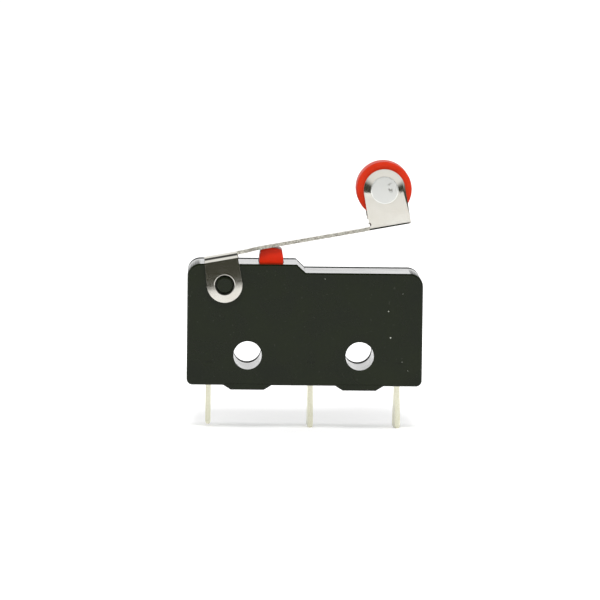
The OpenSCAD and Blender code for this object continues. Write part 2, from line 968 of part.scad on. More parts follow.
// The bracket that carries the roller, with a relief at the foot of each ear
module roller_bracket() {
    difference() {
        intersection() {
            run(bracket_start, roller_x + bracket_r)
                translate([0, lever_rise])
                    mirror([0, 1])
                        channel(bracket_w, bend_r, -roller_rise, 0);
            slab(-bracket_w, bracket_w) {
                polygon([
                    [bracket_start, 0], [lever_l, 0],
                    [roller_x + bracket_r, roller_rise], [roller_x - bracket_r, roller_rise]
                ]);
                translate([roller_x, roller_rise])
                    circle(bracket_r);
            }
        }
        for (side = [-1, 1]) {
            translate([bracket_start, side * bracket_w / 2, lever_top + relief_r])
                across()
                    cylinder(r = relief_r, h = 2 * bend_r, center = true, $fn = 24);
        }
    }
}

module lever() {
    color("#d0cec6")
        on_lever()
            difference() {
                union() {
                    hinge_yoke();
                    plate(lever_rise, lever_top) arm_outline();
                    roller_bracket();
                }
                across()
                    cylinder(d = hinge_d + 2 * hinge_play, h = 2 * body_d, center = true);
                ear_bevel();
                pressed_ring();
                translate([roller_x, 0, roller_rise])
                    across()
                        cylinder(d = rivet_d + 2 * seat, h = 2 * bracket_w, center = true);
            }
}

// ---- roller ----

// Puts a turned piece on the roller's axis
module on_roller_axis() {
    on_lever()
        translate([roller_x, 0, roller_rise])
            across()
                children();
}

module roller() {
    bore = rivet_d / 2 + roller_play;
    r = roller_d / 2;
    half = roller_w / 2;
    color("#d8482c")
        on_roller_axis()
            rotate_extrude($fn = 96) {
                difference() {
                    box2([bore, -half], [r, half]);
                    corner([r, half], -1, -1, rim_r);
                    corner([r, -half], -1, 1, rim_r);
                }
                box2([bore, -half - hub_h], [hub_d / 2, half + hub_h]);
            }
}

module roller_rivet() {
    seat_y = bracket_w / 2;
    head_rim = rivet_head_h - rivet_crown;
    head_r = rivet_head_d / 2;
    tail_r = rivet_tail_d / 2;
    tail_h = 0.2;
    tail_bevel = 0.1;
    crown_r = (head_r * head_r + rivet_crown * rivet_crown) / (2 * rivet_crown);
    color("#d7d8d5")
        on_roller_axis()
            rotate_extrude($fn = 96) {
                box2([0, -seat_y - past], [rivet_d / 2, seat_y + past]);
                box2([0, seat_y], [head_r, seat_y + head_rim]);
                intersection() {
                    translate([0, seat_y + rivet_head_h - crown_r])
                        circle(crown_r, $fn = 128);
                    box2([0, seat_y + head_rim / 2], [head_r, seat_y + rivet_head_h + past]);
                }
                polygon([
                    [0, -seat_y - tail_h], [tail_r - tail_bevel, -seat_y - tail_h],
                    [tail_r, tail_bevel - seat_y - tail_h], [tail_r, -seat_y], [0, -seat_y]
                ]);
            }
}

case();
cover();
plunger();
com_terminal();
no_terminal();
nc_terminal();
no_contact();
nc_contact();
snap_spring();
moving_contact();
lever();
roller();
roller_rivet();
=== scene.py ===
"""Finishes and fine shapes of a lever micro switch, built round its fixed frame."""

import math
import random

import bmesh
import bpy
from bpy.props import FloatProperty, FloatVectorProperty, PointerProperty, StringProperty
from mathutils import Matrix, Vector
from mathutils.bvhtree import BVHTree


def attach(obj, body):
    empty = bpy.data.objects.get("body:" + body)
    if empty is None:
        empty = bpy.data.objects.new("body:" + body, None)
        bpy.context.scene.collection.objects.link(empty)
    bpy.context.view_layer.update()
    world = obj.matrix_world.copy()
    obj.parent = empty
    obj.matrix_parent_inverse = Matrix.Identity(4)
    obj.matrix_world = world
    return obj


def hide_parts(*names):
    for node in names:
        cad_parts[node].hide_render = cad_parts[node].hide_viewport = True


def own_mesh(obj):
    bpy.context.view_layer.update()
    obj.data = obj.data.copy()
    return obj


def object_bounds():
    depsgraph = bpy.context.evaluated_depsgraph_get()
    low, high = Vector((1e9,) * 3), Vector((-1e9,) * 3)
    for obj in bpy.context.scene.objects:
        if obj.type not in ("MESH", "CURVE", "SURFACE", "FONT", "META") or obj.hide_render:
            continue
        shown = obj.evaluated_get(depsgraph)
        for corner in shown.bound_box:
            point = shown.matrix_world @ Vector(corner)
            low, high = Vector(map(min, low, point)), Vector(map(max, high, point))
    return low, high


bl_info = {
    "name": "Lever Micro Switch",
    "version": (1, 0, 0),
    "blender": (4, 5, 0),
    "location": "View3D > Sidebar > Micro Switch",
    "description": "Dresses a small snap-action switch with its plastics, metals and fine edges",
    "category": "Object",
}

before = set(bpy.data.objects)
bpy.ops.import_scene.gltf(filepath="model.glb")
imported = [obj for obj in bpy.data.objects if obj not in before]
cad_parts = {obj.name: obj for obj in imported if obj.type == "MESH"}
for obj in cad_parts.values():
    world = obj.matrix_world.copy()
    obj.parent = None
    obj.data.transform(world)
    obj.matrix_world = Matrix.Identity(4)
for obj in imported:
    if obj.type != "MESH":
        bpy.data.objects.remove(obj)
CAD_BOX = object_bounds()
MM = 0.001

# ---- sizes, in millimetres unless they say otherwise ----

# The free lever. Its shapes are placed along it and up from its hinge.
LEVER = {"hinge": (-2.0, 6.0), "tilt": math.radians(10.4), "rise": 2.3, "sheet": 0.3}
# Its hinge ears: how far out they stand, their round end, the outer radius of the bend
# and the height of its centre, and how far they spread at their foot
EAR = {"out": 3.55, "radius": 1.5, "bend": 0.6, "bend_up": 2.0, "flare": 0.14, "turns": 1}
# Its roller bracket, whose ears turn up where the hinge ears turn down
BRACKET_BEND = 0.4
BRACKET = {
    "start": 12.9, "out": 2.2, "radius": 1.76, "roller": (14.7, 5.5),
    "bend": BRACKET_BEND, "bend_up": LEVER["rise"] + BRACKET_BEND, "turns": -1,
}
# How the rivet's blow has drawn the bracket's front ear: outside this radius the sheet
# falls away at this slope. The slope fades in between two heights, which are shares of
# the radius from a middle that lies a drop under the rivet, and only sheet within this
# depth of the ear's face is moved.
DRAWN = {"radius": 1.16, "slope": 0.22, "drop": 0.3, "fade": (-0.1, 0.15), "depth": 0.07}
# Slack when a point is matched to one of these shapes
SLACK = {"touch": 0.001, "near": 0.01, "skin": 0.02, "rim": 0.05}
# Cosines of the steepest faces that count as flat, as drawn and as an end of the lever,
# and the share of a bend's radius inside which a point lies on its hollow side
FLAT_COS = 0.992
DRAWN_COS = 0.96
END_COS = 0.5
HOLLOW_SHARE = 0.8
# Cosine past which a face is square to an axis
SQUARE_COS = 0.9999

# The turned pieces: radii, and places along their axis from the middle. The bore, the
# hub and the rim make up the roller; shank, head and tail make up the rivet.
ROLLER = {
    "bore": 0.83, "hub": 2.05, "hub_half": 1.67, "rim": 2.35, "half": 1.55, "soft": 0.3,
    "soft_steps": 10,
}
RIVET = {
    "shank": 0.8, "seat": 2.2, "head": 1.17, "head_face": 2.46, "head_soft": 0.06,
    "head_ring": 0.02, "tail": 1.1, "tail_face": 2.4,
}
# Where the rivet's head is nicked: middle of the patch, its radius and a nick's width
NICKS = {"x": 12.05, "z": 14.3, "reach": 0.45, "width": 0.2}

# The terminals' sheet. A face with more metal behind it than this share of the sheet's
# thickness is a cut edge.
STRIP_SHEET = 0.45
EDGE_SHARE = 1.35

# Depth of the case's front face, and its dust grains: place along, height and width
FRONT = 3.2
DUST = (
    (12.1, 1.6, 0.17), (11.9, 3.85, 0.13), (13.1, 5.35, 0.06),
    (13.1, -0.45, 0.06), (13.6, -1.2, 0.07), (6.5, 6.55, 0.08),
)
# How uneven a grain is, as the smallest share of its radius, and how flat it lies
GRAIN = {"smallest": 0.75, "flat": 0.4}

# Corners closer than this are one, faces nearly in line become one, and edges sharper
# than this are rounded
WELD = 0.0005
IN_LINE = math.radians(0.3)
SHARP = math.radians(25)

# The studio's bands, as height angles in degrees from the front horizon over the top,
# and how far to the side its walls begin and are full, as a share of straight sideways
BANDS = {"room": 7, "tent": (13, 50), "ceiling": (55, 93), "sweep": 99}
WALLS = (0.6, 0.8)
# Half the floor's width, in metres
FLOOR_HALF = 3.0


# ---- colour and node helpers ----


def linear(hex_code):
    """An sRGB hex colour as linear RGBA."""
    channels = [int(hex_code[i : i + 2], 16) / 255 for i in (1, 3, 5)]
    return (
        *(c / 12.92 if c <= 0.04045 else ((c + 0.055) / 1.055) ** 2.4 for c in channels),
        1.0,
    )


def per_metre(size_mm):
    """Texture scale that gives one cell for each size_mm."""
    return 1 / (size_mm * MM)


def add(tree, kind, settings=None, stops=(), **inputs):
    """Adds a node to a tree with its settings, and sets or links its inputs: _6 is the
    input numbered 6. The stops are a ramp's positions and colours, in rising order."""
    made = tree.nodes.new(kind)
    for name, value in (settings or {}).items():
        setattr(made, name, value)
    for index, (position, colour) in enumerate(stops):
        elements = made.color_ramp.elements
        stop = elements[index] if index < len(elements) else elements.new(position)
        stop.position = position
        stop.color = colour
    for name, value in inputs.items():
        key = int(name[1:]) if name[0] == "_" else name.replace("_", " ")
        if isinstance(value, bpy.types.NodeSocket):
            tree.links.new(value, made.inputs[key])
        else:
            made.inputs[key].default_value = value
    return made


def start_material(name):
    """An empty material with its output node and the object's own coordinates."""
    material = bpy.data.materials.new(name)
    material.use_nodes = True
    tree = material.node_tree
    tree.nodes.clear()
    place = add(tree, "ShaderNodeTexCoord").outputs["Object"]
    return material, tree, place


def close_material(tree, shader):
    """Links the shader to the material's output."""
    add(tree, "ShaderNodeOutputMaterial", Surface=shader.outputs["BSDF"])


def grey(value):
    """A grey of this linear value as RGBA."""
    return (value, value, value, 1.0)


# ---- materials ----


def moulded_housing_plastic(name, dark, light, fleck, roughness, sheen):
    """Glass-filled PBT, injection moulded: black pigment swallows the light that enters,
    the mould's steel gives the skin its sheen, and filler shows as a few faint flecks."""
    material, tree, place = start_material(name)
    cloudy = add(tree, "ShaderNodeTexNoise", Vector=place, Scale=per_metre(2.6), Detail=5.0)
    grain = add(tree, "ShaderNodeTexNoise", Vector=place, Scale=per_metre(0.1), Detail=3.0)
    base = add(
        tree, "ShaderNodeValToRGB", stops=[(0.3, linear(dark)), (0.72, linear(light))],
        Fac=cloudy.outputs["Fac"],
    )
    filler = add(tree, "ShaderNodeTexNoise", Vector=place, Scale=per_metre(0.22), Detail=1.0)
    amount = add(
        tree, "ShaderNodeValToRGB", stops=[(0.72, grey(0.0)), (0.8, grey(1.0))],
        Fac=filler.outputs["Fac"],
    )
    flecked = add(
        tree, "ShaderNodeMix", {"data_type": "RGBA"},
        _0=amount.outputs["Color"], _6=base.outputs["Color"], _7=linear(fleck),
    )
    rough = add(
        tree, "ShaderNodeValToRGB",
        stops=[(0.3, grey(roughness - 0.03)), (0.7, grey(roughness + 0.04))],
        Fac=cloudy.outputs["Fac"],
    )
    bump = add(
        tree, "ShaderNodeBump",
        Strength=0.2, Distance=0.004 * MM, Height=grain.outputs["Fac"],
    )
    shader = add(
        tree, "ShaderNodeBsdfPrincipled",
        Base_Color=flecked.outputs["Result"], Roughness=rough.outputs["Color"],
        IOR=1.55, Specular_IOR_Level=sheen, Normal=bump.outputs["Normal"],
    )
    close_material(tree, shader)
    return material


def moulded_red_plastic(name, colour, shade, roughness, sheen):
    """Unfilled engineering plastic, injection moulded: dense colour under a waxy, even
    sheen."""
    material, tree, place = start_material(name)
    cloudy = add(tree, "ShaderNodeTexNoise", Vector=place, Scale=per_metre(1.4), Detail=3.0)
    grain = add(tree, "ShaderNodeTexNoise", Vector=place, Scale=per_metre(0.15), Detail=2.0)
    base = add(
        tree, "ShaderNodeValToRGB", stops=[(0.3, linear(shade)), (0.7, linear(colour))],
        Fac=cloudy.outputs["Fac"],
    )
    rough = add(
        tree, "ShaderNodeValToRGB",
        stops=[(0.3, grey(roughness - 0.05)), (0.7, grey(roughness + 0.06))],
        Fac=grain.outputs["Fac"],
    )
    bump = add(
        tree, "ShaderNodeBump",
        Strength=0.2, Distance=0.01 * MM, Height=grain.outputs["Fac"],
    )
    shader = add(
        tree, "ShaderNodeBsdfPrincipled",
        Base_Color=base.outputs["Color"], Roughness=rough.outputs["Color"],
        IOR=1.48, Specular_IOR_Level=sheen, Normal=bump.outputs["Normal"],
    )
    close_material(tree, shader)
    return material


def rolled_sheet_metal(name, colour, shade, roughness, rolled_along, line_mm):
    """Rolled sheet metal: fine lines along the rolling direction stretch its highlights,
    and handling leaves slightly duller patches."""
    material, tree, place = start_material(name)
    stretch = add(
        tree, "ShaderNodeMapping", {"vector_type": "POINT"}, Vector=place, Scale=rolled_along
    )
    lines = add(
        tree, "ShaderNodeTexNoise",
        Vector=stretch.outputs["Vector"], Scale=per_metre(line_mm), Detail=3.0,
    )
    patches = add(tree, "ShaderNodeTexNoise", Vector=place, Scale=per_metre(1.6), Detail=3.0)
    base = add(
        tree, "ShaderNodeValToRGB", stops=[(0.3, linear(shade)), (0.7, linear(colour))],
        Fac=patches.outputs["Fac"],
    )
    rough = add(
        tree, "ShaderNodeValToRGB",
        stops=[(0.3, grey(roughness - 0.02)), (0.7, grey(roughness + 0.02))],
        Fac=lines.outputs["Fac"],
    )
    bump = add(
        tree, "ShaderNodeBump",
        Strength=0.08, Distance=0.001 * MM, Height=lines.outputs["Fac"],
    )
    shader = add(
        tree, "ShaderNodeBsdfPrincipled",
        Base_Color=base.outputs["Color"], Metallic=1.0,
        Roughness=rough.outputs["Color"], Normal=bump.outputs["Normal"],
    )
    close_material(tree, shader)
    return material


def struck_rivet_steel(colours):
    """Bright steel, struck when the rivet was set: an even sheen with a few dark nicks
    beside the middle of its head."""
    material, tree, place = start_material("struck_bright_steel")
    grain = add(tree, "ShaderNodeTexNoise", Vector=place, Scale=per_metre(0.1), Detail=3.0)
    base = add(
        tree, "ShaderNodeValToRGB",
        stops=[(0.1, linear(colours.steel)), (0.4, linear(colours.rivet))],
        Fac=grain.outputs["Fac"],
    )
    patch = (NICKS["x"] * MM, -RIVET["head_face"] * MM, NICKS["z"] * MM)
    away = add(tree, "ShaderNodeVectorMath", {"operation": "DISTANCE"}, _0=place, _1=patch)
    share = add(
        tree, "ShaderNodeMath", {"operation": "DIVIDE"},
        _0=away.outputs["Value"], _1=2 * NICKS["reach"] * MM,
    )
    near = add(
        tree, "ShaderNodeValToRGB", stops=[(0.35, grey(1.0)), (0.55, grey(0.0))],
        Fac=share.outputs["Value"],
    )
    scatter = add(
        tree, "ShaderNodeTexNoise", Vector=place, Scale=per_metre(NICKS["width"]), Detail=1.0
    )
    nicks = add(
        tree, "ShaderNodeValToRGB", stops=[(0.56, grey(0.0)), (0.62, grey(1.0))],
        Fac=scatter.outputs["Fac"],
    )
    both = add(
        tree, "ShaderNodeMath", {"operation": "MULTIPLY"},
        _0=near.outputs["Color"], _1=nicks.outputs["Color"],
    )
    worn = add(
        tree, "ShaderNodeMix", {"data_type": "RGBA"},
        _0=both.outputs["Value"], _6=base.outputs["Color"], _7=linear(colours.nick),
    )
    shader = add(
        tree, "ShaderNodeBsdfPrincipled",
        Base_Color=worn.outputs["Result"], Metallic=1.0, Roughness=0.16,
    )
    close_material(tree, shader)
    return material


def sheared_edge(name, colour, shade, roughness):
    """The edge that a press shears: torn in some places and burnished in others, so it
    looks duller and more broken than the rolled faces."""
    material, tree, place = start_material(name)
    tear = add(tree, "ShaderNodeTexNoise", Vector=place, Scale=per_metre(0.12), Detail=4.0)
    base = add(
        tree, "ShaderNodeValToRGB", stops=[(0.3, linear(shade)), (0.7, linear(colour))],
        Fac=tear.outputs["Fac"],
    )
    bump = add(
        tree, "ShaderNodeBump",
        Strength=0.3, Distance=0.004 * MM, Height=tear.outputs["Fac"],
    )
    shader = add(
        tree, "ShaderNodeBsdfPrincipled",
        Base_Color=base.outputs["Color"], Metallic=1.0,
        Roughness=roughness, Normal=bump.outputs["Normal"],
    )
    close_material(tree, shader)
    return material


def loose_dust(colours):
    """Cotton and skin dust, loose on the face: pale, dry and without any shine."""
    material, tree, place = start_material("loose_cotton_dust")
    fibre = add(tree, "ShaderNodeTexNoise", Vector=place, Scale=per_metre(0.05), Detail=3.0)
    base = add(
        tree, "ShaderNodeValToRGB",
        stops=[(0.3, linear(colours.dust_shade)), (0.7, linear(colours.dust))],
        Fac=fibre.outputs["Fac"],
    )
    shader = add(
        tree, "ShaderNodeBsdfPrincipled",
        Base_Color=base.outputs["Color"], Roughness=0.95, IOR=1.4,
    )
    close_material(tree, shader)
    return material


def plain_floor(colour):
    """Painted board, rolled on matt: even and pale, and lifted a little by the white room
    all round it."""
    material, tree, place = start_material("matt_painted_board")
    tooth = add(tree, "ShaderNodeTexNoise", Vector=place, Scale=per_metre(1.0), Detail=2.0)
    base = add(
        tree, "ShaderNodeValToRGB", stops=[(0.0, linear(colour)), (1.0, linear("#ffffff"))],
        Fac=tooth.outputs["Fac"],
    )
    shader = add(
        tree, "ShaderNodeBsdfPrincipled",
        Base_Color=base.outputs["Color"], Roughness=0.9, IOR=1.3,
        Emission_Color=grey(1.0), Emission_Strength=0.14,
    )
    close_material(tree, shader)
    return material


def white_studio(settings):
    """The studio round the switch, by height angle from the front horizon over the top:
    a dim room, a lit tent, a dark ceiling and the white sweep behind, between pale walls."""
    world = bpy.data.worlds.new("studio")
    world.use_nodes = True
    tree = world.node_tree
    tree.nodes.clear()
    place = add(tree, "ShaderNodeTexCoord").outputs["Generated"]
    axes = add(tree, "ShaderNodeSeparateXYZ", Vector=place)
    forward = add(
        tree, "ShaderNodeMath", {"operation": "MULTIPLY"}, _0=axes.outputs["Y"], _1=-1.0
    )
    height = add(
        tree, "ShaderNodeMath", {"operation": "ARCTAN2"},
        _0=axes.outputs["Z"], _1=forward.outputs["Value"],
    )
    share = add(
        tree, "ShaderNodeMath", {"operation": "DIVIDE"},
        _0=height.outputs["Value"], _1=math.pi,
    )
    bands = [
        (BANDS["room"], (*settings.room, 1.0)),
        (BANDS["tent"][0], grey(settings.tent)),
        (BANDS["tent"][1], grey(settings.tent)),
        (BANDS["ceiling"][0], grey(settings.ceiling)),
        (BANDS["ceiling"][1], grey(settings.ceiling)),
        (BANDS["sweep"], grey(settings.sweep)),
    ]
    light = add(
        tree, "ShaderNodeValToRGB", stops=[(angle / 180, colour) for angle, colour in bands],
        Fac=share.outputs["Value"],
    )
    aside = add(tree, "ShaderNodeMath", {"operation": "ABSOLUTE"}, _0=axes.outputs["X"])
    beside = add(
        tree, "ShaderNodeValToRGB", stops=[(WALLS[0], grey(0.0)), (WALLS[1], grey(1.0))],
        Fac=aside.outputs["Value"],
    )
    walled = add(
        tree, "ShaderNodeMix", {"data_type": "RGBA"},
        _0=beside.outputs["Color"], _6=light.outputs["Color"], _7=grey(settings.walls),
    )
    # What the camera looks at directly stays white
    seen = add(tree, "ShaderNodeLightPath").outputs["Is Camera Ray"]
    colour = add(
        tree, "ShaderNodeMix", {"data_type": "RGBA"},
        _0=seen, _6=walled.outputs["Result"], _7=grey(1.0),
    )
    background = add(tree, "ShaderNodeBackground", Color=colour.outputs["Result"])
    add(tree, "ShaderNodeOutputWorld", Surface=background.outputs["Background"])
    return world


# ---- mesh helpers ----


def mark_cut_edges(bm, sheet_mm):
    """Gives material slot 1 to the sheared edges of a piece stamped from sheet: the metal
    behind them is deeper than the sheet is thick."""
    tree = BVHTree.FromBMesh(bm)
    for face in bm.faces:
        inward = -face.normal
        start = face.calc_center_median() + inward * SLACK["touch"] * MM
        far_side, _normal, _face, depth = tree.ray_cast(start, inward)
        if far_side is not None and depth > EDGE_SHARE * sheet_mm * MM:
            face.material_index = 1


def finish_mesh(bm, name, materials, body, node, smooth_angle=35):
    """Turns a bmesh into a shaded piece that rides on a body in place of a CAD node."""
    limit = math.radians(smooth_angle)
    for face in bm.faces:
        face.smooth = True
    for edge in bm.edges:
        sharp = len(edge.link_faces) != 2 or edge.calc_face_angle(0) > limit
        edge.smooth = not sharp
    mesh = bpy.data.meshes.new(name)
    bm.to_mesh(mesh)
    bm.free()
    for material in materials:
        mesh.materials.append(material)
    piece = bpy.data.objects.new(name, mesh)
    bpy.context.scene.collection.objects.link(piece)
    even = piece.modifiers.new("even_shading", "WEIGHTED_NORMAL")
    even.keep_sharp = True
    even.weight = 100
    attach(piece, body)
    if node:
        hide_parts(node)
    return piece


def softened(node, width_mm, segments=2):
    """A copy of a CAD node as a bmesh, its flat faces joined up and its edges rounded."""
    bm = bmesh.new()
    bm.from_mesh(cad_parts[node].data)
    bmesh.ops.remove_doubles(bm, verts=bm.verts, dist=WELD * MM)
    bmesh.ops.dissolve_limit(bm, angle_limit=IN_LINE, verts=bm.verts, edges=bm.edges)
    edges = [e for e in bm.edges if len(e.link_faces) == 2 and e.calc_face_angle(0) > SHARP]
    if width_mm > 0:
        bmesh.ops.bevel(
            bm, geom=edges, offset=width_mm * MM, segments=segments, profile=0.5,
            affect="EDGES", clamp_overlap=True,
        )
    return bm


def turned(node, profile, segments=128):
    """A piece turned on the axis of a CAD node along Y. The profile's points are a radius
    and a place along the axis in millimetres, from the front to the back."""
    corners = [vertex.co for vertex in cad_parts[node].data.vertices]
    middle = [
        (min(c[axis] for c in corners) + max(c[axis] for c in corners)) / 2
        for axis in (0, 2)
    ]
    turns = [2 * math.pi * step / segments for step in range(segments)]
    bm = bmesh.new()
    rings = []
    for radius, along in profile:
        if radius == 0:
            ring = [bm.verts.new((middle[0], along * MM, middle[1]))] * segments
        else:
            ring = [
                bm.verts.new((
                    middle[0] + radius * MM * math.cos(turn),
                    along * MM,
                    middle[1] + radius * MM * math.sin(turn),
                ))
                for turn in turns
            ]
        rings.append(ring)
    for near, far in zip(rings, rings[1:] + rings[:1]):
        for step in range(segments):
            ahead = (step + 1) % segments
            around = list(dict.fromkeys((near[step], near[ahead], far[ahead], far[step])))
            if len(around) > 2:
                bm.faces.new(around)
    bmesh.ops.recalc_face_normals(bm, faces=bm.faces)
    return bm


def quarter(radius, along, edge, side, steps=6):
    """Points of a quarter round of radius edge at a profile's outer corner: side is -1 for
    a corner that faces the front and 1 for one that faces the back."""
    turns = [math.pi / 2 * step / steps for step in range(steps + 1)]
    points = [
        (radius - edge * (1 - math.sin(turn)), along - side * edge * (1 - math.cos(turn)))
        for turn in turns
    ]
    return points if side < 0 else points[::-1]


# ---- the lever's pressed shapes ----


def lever_place(place):
    """Where a point lies on the free lever: along it and up from the hinge, millimetres."""
    tilt = LEVER["tilt"]
    right = place.x / MM - LEVER["hinge"][0]
    high = place.z / MM - LEVER["hinge"][1]
    return (
        right * math.cos(tilt) + high * math.sin(tilt),
        high * math.cos(tilt) - right * math.sin(tilt),
    )


def step_up(value, low, high):
    """0 below low, 1 above high and a smooth rise between."""
    t = min(max((value - low) / (high - low), 0.0), 1.0)
    return t * t * (3 - 2 * t)


def in_drawing(along, up):
    """A point's distance from the roller's axis, and whether the drawn ring reaches it."""
    radius = math.hypot(along - BRACKET["roller"][0], up - BRACKET["roller"][1])
    inner = DRAWN["radius"] - SLACK["skin"]
    outer = BRACKET["radius"] + SLACK["rim"]
    return radius, inner < radius < outer


def drawn_slope(along, up):
    """How steeply the sheet falls away from the rivet at a point of the drawn ring, and
    the direction in which it does, along the lever and up from it."""
    right = along - BRACKET["roller"][0]
    high = up - BRACKET["roller"][1] + DRAWN["drop"]
    radius = math.hypot(right, high)
    amount = step_up(high / radius, *DRAWN["fade"])
    return amount * DRAWN["slope"], right / radius, high / radius


def draw_ear(bm):
    """Draws the bracket's front ear round the rivet's head in place of its plain ring."""
    for vert in bm.verts:
        along, up = lever_place(vert.co)
        radius, inside = in_drawing(along, up)
        if inside and abs(vert.co.y / MM + BRACKET["out"]) < DRAWN["depth"]:
            slope = drawn_slope(along, up)[0]
            vert.co.y = (slope * (radius - DRAWN["radius"]) - BRACKET["out"]) * MM


def ear_slope(up):
    """How steeply a hinge ear spreads at a height: from nothing at its end upwards."""
    reach = EAR["bend_up"] + EAR["radius"]
    return 2 * EAR["flare"] * (up + EAR["radius"]) / reach**2


def bend_normal(fold, deep, up, out, lift):
    """The true normal on the outside of a bend, or None on its hollow side."""
    radial = out * (deep - fold["out"] + fold["bend"]) + lift * (up - fold["bend_up"])
    if radial.length < HOLLOW_SHARE * fold["bend"]:
        return None
    radial.normalize()
    least = ear_slope(EAR["bend_up"])
    if fold is EAR and radial.dot(lift) < least:
        return (out + lift * least).normalized()
    return radial


def lever_normal(place, facing):
    """The true normal of the lever's pressed sheet at a place on a face, or None where
    the face is flat or cut."""
    along, up = lever_place(place)
    side = 1 if place.y > 0 else -1
    deep = abs(place.y) / MM
    tilt = LEVER["tilt"]
    out = Vector((0, side, 0))
    lift = Vector((-math.sin(tilt), 0, math.cos(tilt)))
    ahead = Vector((math.cos(tilt), 0, math.sin(tilt)))
    if abs(facing.dot(ahead)) > END_COS:
        return None
    if along < EAR["radius"] + SLACK["near"]:
        fold = EAR
    elif along > BRACKET["start"] - SLACK["near"]:
        fold = BRACKET
    else:
        return None
    outwards = facing.dot(out)
    flat = outwards > FLAT_COS
    past_bend = (up - fold["bend_up"]) * fold["turns"] > -SLACK["touch"]
    if not flat and past_bend and deep > fold["out"] - fold["bend"] - SLACK["touch"]:
        return bend_normal(fold, deep, up, out, lift)
    if fold is EAR:
        on_ear = flat and deep > fold["out"] - SLACK["skin"]
        return (out + lift * ear_slope(up)).normalized() if on_ear else None
    if side > 0 or outwards <= DRAWN_COS:
        return None
    if in_drawing(along, up)[1]:
        slope, right, high = drawn_slope(along, up)
        return (out + (ahead * right + lift * high) * slope).normalized()
    return out


def square_normal(_place, facing):
    """The plain normal of a face that is square to an axis, or None on any other face."""
    return facing.copy() if max(abs(part) for part in facing) > SQUARE_COS else None


def fix_normals(piece, true_normal):
    """Keeps a piece's evened normals, but where true_normal knows better takes those."""
    graph = bpy.context.evaluated_depsgraph_get()
    mesh = bpy.data.meshes.new_from_object(piece.evaluated_get(graph), depsgraph=graph)
    normals = [Vector(corner.vector) for corner in mesh.corner_normals]
    for polygon in mesh.polygons:
        for index in polygon.loop_indices:
            place = mesh.vertices[mesh.loops[index].vertex_index].co
            normals[index] = true_normal(place, polygon.normal) or normals[index]
    mesh.normals_split_custom_set([tuple(normal) for normal in normals])
    piece.modifiers.clear()
    piece.data = mesh


# ---- settings ----


class SwitchColours(bpy.types.PropertyGroup):
    """Colours of the plastics and metals, as sRGB hex codes."""

    housing_dark: StringProperty(
        name="Housing, dark", description="Darker tone of the housing", default="#0c1205"
    )
    housing_light: StringProperty(
        name="Housing, light", description="Lighter tone of the housing", default="#131908"
    )
    fleck: StringProperty(
        name="Fleck", description="Filler specks in the housing", default="#23261d"
    )
    plunger: StringProperty(
        name="Plunger", description="Red of the plunger", default="#dc2a03"
    )
    plunger_shade: StringProperty(
        name="Plunger shade", description="Deeper red of the plunger", default="#cd2302"
    )
    roller: StringProperty(
        name="Roller", description="Red of the roller", default="#bf3119"
    )
    roller_shade: StringProperty(
        name="Roller shade", description="Deeper red of the roller", default="#b32a11"
    )
    tin: StringProperty(
        name="Tin plate", description="Tin plate on the terminals", default="#dddccb"
    )
    tin_shade: StringProperty(
        name="Tin plate shade", description="Duller tin plate", default="#cfcdb5"
    )
    steel: StringProperty(
        name="Lever steel", description="Stainless sheet of the lever", default="#c2c0b9"
    )
    steel_shade: StringProperty(
        name="Lever steel shade", description="Duller stainless sheet", default="#bcb9b1"
    )
    steel_cut: StringProperty(
        name="Cut steel", description="Sheared edge of the lever", default="#d2cfc4"
    )
    steel_cut_shade: StringProperty(
        name="Cut steel shade", description="Torn part of that edge", default="#77746a"
    )
    tin_cut: StringProperty(
        name="Cut brass", description="Plated edge of the terminals", default="#dddccb"
    )
    tin_cut_shade: StringProperty(
        name="Cut brass shade", description="Thin plate on that edge", default="#cfcdb5"
    )
    nick: StringProperty(
        name="Nick", description="Dull bottom of a nick in the rivet", default="#9a9a95"
    )
    rivet: StringProperty(
        name="Rivet", description="Bright steel of the rivet", default="#dadbd8"
    )
    silver: StringProperty(
        name="Contact silver", description="Silver alloy of the contacts", default="#f0efec"
    )
    spring: StringProperty(
        name="Spring copper", description="Copper alloy of the snap spring", default="#e2b877"
    )
    dust: StringProperty(
        name="Dust", description="Pale dust on the case", default="#b3b5ac"
    )
    dust_shade: StringProperty(
        name="Dust shade", description="Greyer dust", default="#7c7e76"
    )
    floor: StringProperty(
        name="Floor", description="Paint of the floor", default="#fbfbfb"
    )


class SwitchSizes(bpy.types.PropertyGroup):
    """Widths of the fine edges, in millimetres."""

    plastic_edge: FloatProperty(
        name="Plastic edge", description="Rounding of moulded edges, mm", default=0.04, min=0
    )
    sheet_edge: FloatProperty(
        name="Sheet edge", description="Rounding of stamped edges, mm", default=0.03, min=0
    )
    pin_edge: FloatProperty(
        name="Pin edge", description="Rounding of the plated pins' edges, mm", default=0.04,
        min=0,
    )
    turned_edge: FloatProperty(
        name="Turned edge", description="Rounding of turned edges, mm", default=0.04, min=0
    )


